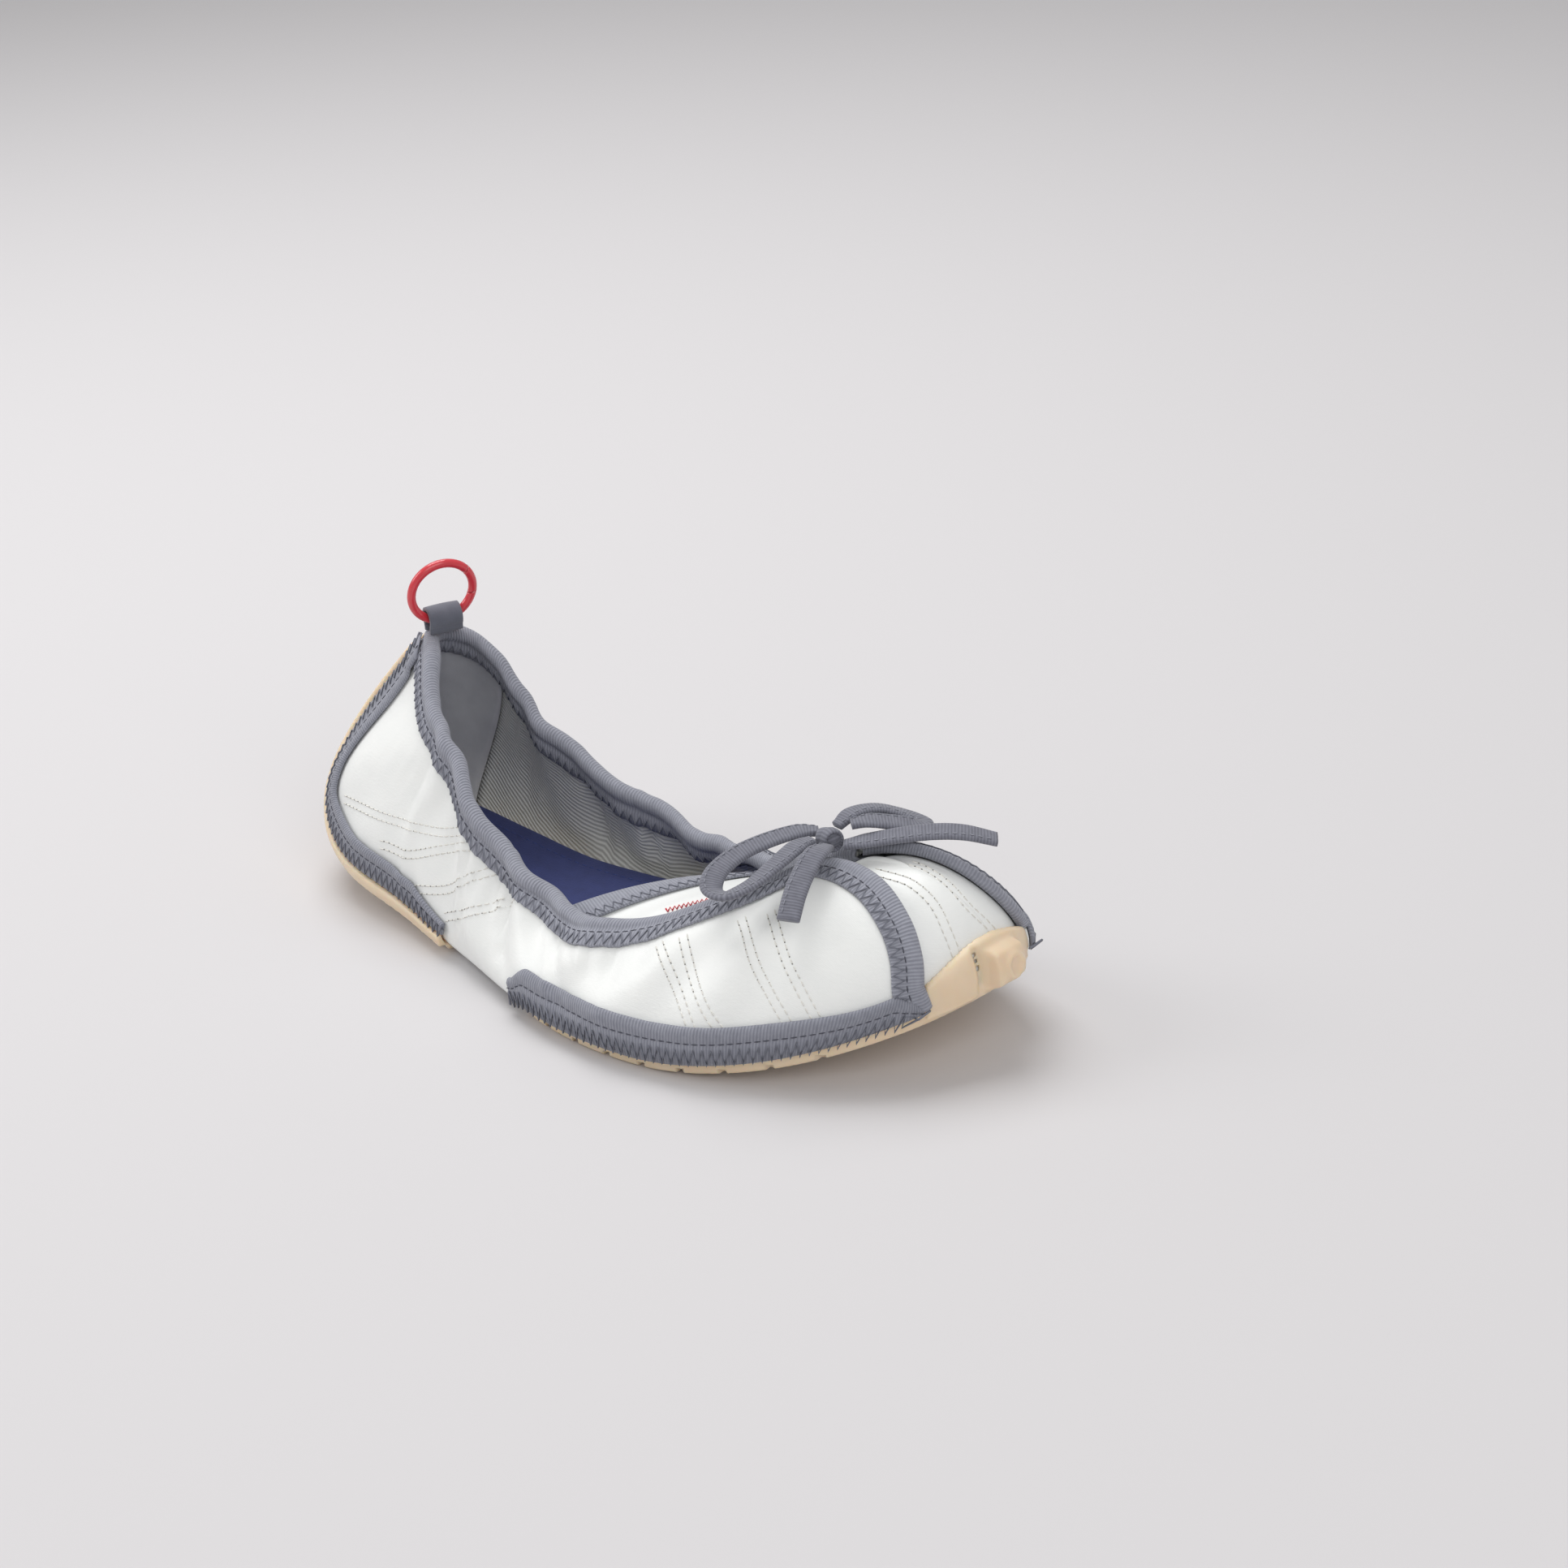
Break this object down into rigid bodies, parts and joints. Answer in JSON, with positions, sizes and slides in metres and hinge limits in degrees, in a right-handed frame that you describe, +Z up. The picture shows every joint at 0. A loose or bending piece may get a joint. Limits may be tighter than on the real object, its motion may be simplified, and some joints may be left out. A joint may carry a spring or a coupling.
{
  "type": "ballet slipper",
  "caption": "Right-foot ballet slipper: satin upper with ribbed elastic bindings, split gum-rubber sole, flat tape bow over the tongue and a pull loop with a ring at the heel.",
  "frame": {"origin": "on the floor under the middle of the slipper, measured without the bow", "axes": "+X from the heel to the toe, +Y to the inner (medial) side of the foot, +Z up"},
  "size_m": [0.25, 0.1028, 0.1049],
  "materials": {
    "satin": "white satin with a soft sheen, wrinkled where it is gathered",
    "gum": "semi-translucent gum rubber, matte",
    "ribbed_tape": "grey ribbed elastic tape with zigzag stitching",
    "lining": "cream ribbed lining cloth",
    "grey_lining": "smooth grey lining cloth",
    "footbed_fabric": "navy napped footbed cloth with a stitch line",
    "foam": "soft foam",
    "board": "pressed fibre board",
    "pull_tape": "dark grey soft tape",
    "lace": "grey folded edge-stitched tape",
    "red_wire": "red enamelled wire, glossy",
    "elastic": "covered elastic cord"
  },
  "bodies": {
    "forefoot": {"outsole_forefoot": "gum", "insole_board_forefoot": "board", "arch_cover": "satin", "footbed_foam": "foam", "sock_liner": "footbed_fabric", "vamp": "satin", "vamp_lining": "lining", "toe_puff": "board", "tongue_binding": "ribbed_tape", "quarter_lateral": "satin", "quarter_medial": "satin", "quarter_lining_lateral": "lining", "quarter_lining_medial": "lining", "topline_binding": "ribbed_tape", "topline_elastic": "elastic", "front_binding_lateral": "ribbed_tape", "front_binding_medial": "ribbed_tape", "sole_binding_lateral": "ribbed_tape", "sole_binding_medial": "ribbed_tape", "bow_knot": "lace", "bow_loop_lateral": "lace", "bow_loop_medial": "lace", "bow_tail_lateral": "lace", "bow_tail_medial": "lace"},
    "heel": {"outsole_heel": "gum", "insole_board_heel": "board", "heel_counter": "board", "heel_lining": "grey_lining", "heel_binding_lateral": "ribbed_tape", "heel_binding_medial": "ribbed_tape", "pull_loop": "pull_tape"},
    "ring": {"ring": "red_wire"},
    "gate": {"ring_gate": "red_wire"}
  },
  "joints": [
    {"name": "arch_flex", "type": "hinge", "parent": "forefoot", "child": "heel", "pos_m": [-0.03301, 0.00709, 0.005], "axis": [0, 1, 0], "range_deg": [-8, 35], "stiffness_Nm_per_rad": 1, "springref_deg": 1.72, "deforming": ["quarter_lateral", "quarter_medial", "quarter_lining_lateral", "quarter_lining_medial", "topline_binding", "topline_elastic", "footbed_foam", "sock_liner", "arch_cover"]},
    {"name": "ring_swing", "type": "hinge", "parent": "heel", "child": "ring", "pos_m": [-0.08531, 0.01509, 0.08512], "axis": [0.4226, 0.9063, 0], "range_deg": [-125, 95]},
    {"name": "gate_open", "type": "hinge", "parent": "ring", "child": "gate", "pos_m": [-0.07917, 0.02083, 0.09989], "axis": [-0.8865, 0.4134, 0.2079], "range_deg": [0, 30], "stiffness_Nm_per_rad": 0.01, "springref_deg": -5.73}
  ]
}
